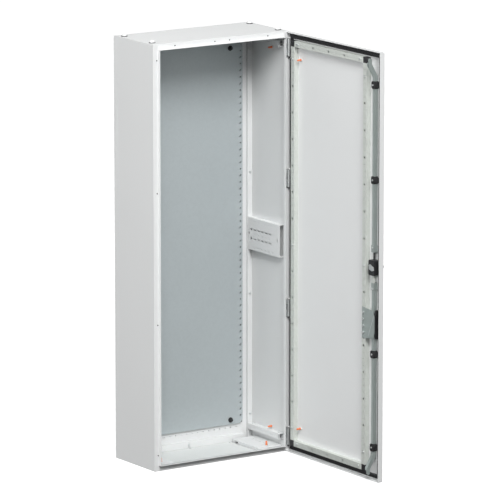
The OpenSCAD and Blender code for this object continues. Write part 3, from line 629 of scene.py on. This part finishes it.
skin_low, skin_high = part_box("door_skin")
rim_low, rim_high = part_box("door_rims")
notch_below = 0.038
notch_above = 0.035
notches = []
for low, high in solids_of("hinge_door_leaves"):
    middle = (low.z + high.z) / 2
    notches.append((middle - notch_below, middle + notch_above))
fold = 0.0024
fold_end = skin_high.x - fold - near
tray = block((rim_low.x, skin_low.y, skin_low.z), skin_high)
edit(tray)
pick(tray, "edges", lambda e: all(v.co.x > skin_high.x - near for v in e.verts))
bpy.ops.mesh.bevel(offset=fold, segments=4, affect="EDGES")
pick(tray, "faces", lambda f: f.normal.x < -0.9)
bpy.ops.mesh.delete(type="FACE")
slit(tray, 2, [z for notch in notches for z in notch])
slit(tray, 0, [fold_end])
edit(tray)
for bottom, top in notches:
    inside = between_z(bottom, top)
    pick(tray, "faces", lambda f: f.normal.y > 0.9 and inside(f)
         and f.calc_center_median().x < fold_end)
    bpy.ops.mesh.delete(type="FACE")
bpy.ops.object.mode_set(mode="OBJECT")
bpy.ops.object.modifier_add(type="SOLIDIFY")
tray.modifiers[-1].thickness = skin_high.x - skin_low.x
tray.modifiers[-1].offset = -1.0
tray.modifiers[-1].use_even_offset = True
apply_last(tray)
tray.name = "door_folded_sheet"
finished(tray, "door", ["door_skin", "door_rims"], paint)


# ---------------------------------------------------------------------------------------------
# Door seal: polyurethane foamed in place in one bead all round, narrower past each hinge. Its
# crown is rounded, with a shallow groove along the middle.
seal_low, seal_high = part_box("door_gasket")
bead = 0.015
crown = 0.0045
ramp = 0.010
hinge_step = 0.0055
groove_edge = 0.0016
groove_depth = 0.0025
bpy.ops.mesh.primitive_plane_add(size=1.0)
gasket = bpy.context.object
gasket.name = "door_seal_bead"
gasket.rotation_euler.y = -math.pi / 2
gasket.scale = (seal_high.z - seal_low.z, seal_high.y - seal_low.y, 1.0)
gasket.location = (seal_high.x, (seal_low.y + seal_high.y) / 2, (seal_low.z + seal_high.z) / 2)
bpy.ops.object.transform_apply(location=True, rotation=True, scale=True)
edit(gasket)
pick(gasket, "faces", lambda f: True)
bpy.ops.mesh.inset(thickness=bead)
bpy.ops.mesh.delete(type="FACE")
slit(gasket, 2, [z for bottom, top in notches for z in (bottom - ramp, bottom, top, top + ramp)])
edit(gasket)
for bottom, top in notches:
    pick(gasket, "verts", lambda v: v.co.y > seal_high.y - near
         and bottom - near < v.co.z < top + near)
    bpy.ops.transform.translate(value=(0.0, -hinge_step, 0.0))
pick(gasket, "faces", lambda f: True)
bpy.ops.mesh.extrude_region_move(
    TRANSFORM_OT_translate={"value": (seal_low.x - seal_high.x, 0.0, 0.0)})
pick(gasket, "edges", lambda e: all(v.co.x < seal_low.x + near for v in e.verts)
     and any(abs(f.normal.x) < 0.5 for f in e.link_faces))
bpy.ops.mesh.bevel(offset=crown, segments=4, affect="EDGES")
pick(gasket, "faces", lambda f: all(v.co.x < seal_low.x + near for v in f.verts))
bpy.ops.mesh.inset(thickness=groove_edge, use_even_offset=False)
bpy.ops.transform.translate(value=(groove_depth, 0.0, 0.0))
bpy.ops.object.mode_set(mode="OBJECT")
finished(gasket, "door", ["door_gasket"], seal, 50.0)


# ---------------------------------------------------------------------------------------------
# Door frame: square galvanised tubes, holes at every pitch, pushed on black nylon corners and
# screwed to studs on the door sheet.
galvanised = zinc_sheet("galvanised_tube", (0.58, 0.61, 0.57), (0.71, 0.735, 0.70), 0.006, 0.30)
for node in ("tube_hinge_side", "tube_lock_side", "tube_top", "tube_bottom"):
    deburred(node, 0.0010, galvanised, shortest=0.004)
deburred("tube_corners", 0.0012, black_nylon)
deburred("door_screws", 0.0004, bright_zinc, shortest=0.0, rounds=2)


# ---------------------------------------------------------------------------------------------
# Lock rods: drawn square bars, cranked at the end, each with a nylon roller on a pin, running in
# nylon guides.
bar_zinc = zinc_sheet(
    "galvanised_bar", (0.34, 0.39, 0.375), (0.45, 0.50, 0.485), 0.004, 0.45, (1, 1, 0.12))
for node in ("upper_rod", "lower_rod"):
    deburred(node, 0.0014, bar_zinc, shortest=0.0035)
deburred("rod_guides", 0.0009, black_nylon, shortest=0.004, corner=0.0065)
for node in ("upper_roller", "lower_roller"):
    deburred(node, 0.0009, black_nylon, shortest=0.0, rounds=2)


# ---------------------------------------------------------------------------------------------
# Lock: a nylon housing on the door sheet with a zinc-plated cam on its spindle. A blackened bar
# runs up from it and a galvanised bar down, each pinned in a zinc coupler at the rod's end.
deburred("lock_housing", 0.0009, black_nylon, shortest=0.004, corner=0.007)
deburred("lock_spindle", 0.0004, bright_zinc, shortest=0.0, rounds=2)
deburred("lock_cam", 0.0004, bright_zinc, shortest=0.003)
coupler_height = 0.0259
bar_front = 0.0015
bar_back = 0.0055
bar_half_width = 0.0075
bar_overlap = 0.001


def part_above(node, height, above):
    """A copy of a CAD part, cut off level at a height; its upper or its lower part stays."""
    piece = copied(node)
    bpy.ops.mesh.select_all(action="SELECT")
    bpy.ops.mesh.bisect(plane_co=(0.0, 0.0, height), plane_no=(0.0, 0.0, 1.0), use_fill=True,
                        clear_inner=above, clear_outer=not above)
    break_edges(piece, 0.0005)
    bpy.ops.object.mode_set(mode="OBJECT")
    return piece


lock_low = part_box("lock_housing")[0]
for node, upper in (("upper_link", True), ("lower_link", False)):
    low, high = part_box(node)
    joint_z = high.z - coupler_height if upper else low.z + coupler_height
    body = frame["nodes"][node]["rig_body"]
    middle = (low + high) / 2
    coupler = part_above(node, joint_z, upper)
    coupler.name = node + "_coupler"
    finished(coupler, body, [node], bar_zinc)
    bar = part_above(node, joint_z, not upper)
    if upper:
        bar.name = "upper_link_bar"
        finished(bar, body, [node], black_steel)
        pin_at = (low.x - 0.0004, middle.y, high.z - 0.009)
        pin = turned(pin_at, 0.0034, 0.0022, 0.0007, "X", 24, 3)
    else:
        plate = block((low.x + bar_front, middle.y - bar_half_width, joint_z - bar_overlap),
                      (low.x + bar_back, middle.y + bar_half_width, lock_low.z - bar_overlap))
        edit(plate)
        break_edges(plate, 0.0007)
        bpy.ops.object.mode_set(mode="OBJECT")
        finished(joined("lower_link_bar", [plate, bar]), body, [node], galvanised)
        pin_at = (low.x - 0.0002, middle.y, low.z + 0.004)
        pin = turned(pin_at, 0.003, 0.016, 0.0007, "Y", 24, 3)
    pin.name = node + "_pin"
    finished(pin, body, [node], bright_zinc)


# ---------------------------------------------------------------------------------------------
# Door lifter: a bracket folded from galvanised sheet, with a gusset, sits on the lock-side tube; a
# bright zinc strip on the gusset's sloped edge is a painted highlight. It carries a nylon ramp beside
# the rod.
deburred("lift_bracket", 0.0004, bar_zinc, shortest=0.003)
low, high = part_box("lift_bracket")
gusset_start = 0.001
gusset_end = 0.040
gusset_foot = 0.012
gusset_top = 0.022
slope_start = 0.036
slope = (0.0, 0.92, 0.39)
# The first strip is a painted highlight: bright zinc laid along the gusset's sloped edge to stand in
# for light caught there.
for name, finish, reach, proud in (("lifter_gusset_painted_highlight", bright_zinc, 0.0024, 0.0006),
                                   ("lifter_gusset", bar_zinc, 0.0, 0.0011)):
    gusset = block((low.x - proud, low.y + gusset_start, low.z + gusset_foot),
                   (low.x, low.y + gusset_end, high.z - gusset_top))
    edit(gusset)
    bpy.ops.mesh.select_all(action="SELECT")
    bpy.ops.mesh.bisect(plane_co=(low.x, low.y + slope_start + reach, low.z + gusset_foot),
                        plane_no=slope, use_fill=True, clear_outer=True)
    break_edges(gusset, 0.0002, rounds=2)
    bpy.ops.object.mode_set(mode="OBJECT")
    gusset.name = name
    finished(gusset, "door", ["lift_bracket"], finish)
deburred("lift_wedge", 0.0012, black_nylon, shortest=0.002)


# ---------------------------------------------------------------------------------------------
# Outside handle: a moulded nylon escutcheon round the spindle, a nylon lever on the spindle, and
# a zinc-plated double-bit key insert that turns in the lever's boss.
deburred("escutcheon", 0.0020, black_nylon, shortest=0.0)
lever = copied("handle_lever")
low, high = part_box("lock_spindle")
axis_y = (low.y + high.y) / 2
axis_z = (low.z + high.z) / 2
low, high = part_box("handle_lever")
face_depth = 0.001
rim_radius = 0.0125
hole_clear = 0.009
arm_start = 0.012
boss_taper = 0.74
lever_round = 0.0022


def from_axis(corner):
    """How far a corner of the lever is from the spindle's axis."""
    return math.hypot(corner.co.y - axis_y, corner.co.z - axis_z)


pick(lever, "verts", lambda v: v.co.x > high.x - face_depth
     and from_axis(v) > rim_radius and v.co.y < axis_y + arm_start)
bpy.ops.transform.resize(value=(1.0, boss_taper, boss_taper), center_override=(high.x, axis_y, axis_z))
break_edges(lever, lever_round, shortest=0.0,
            only=lambda e: all(from_axis(v) > hole_clear for v in e.verts))
finished(lever, "handle", ["handle_lever"], black_nylon)
deburred("key_insert", 0.0003, bright_zinc, shortest=0.0, rounds=2)
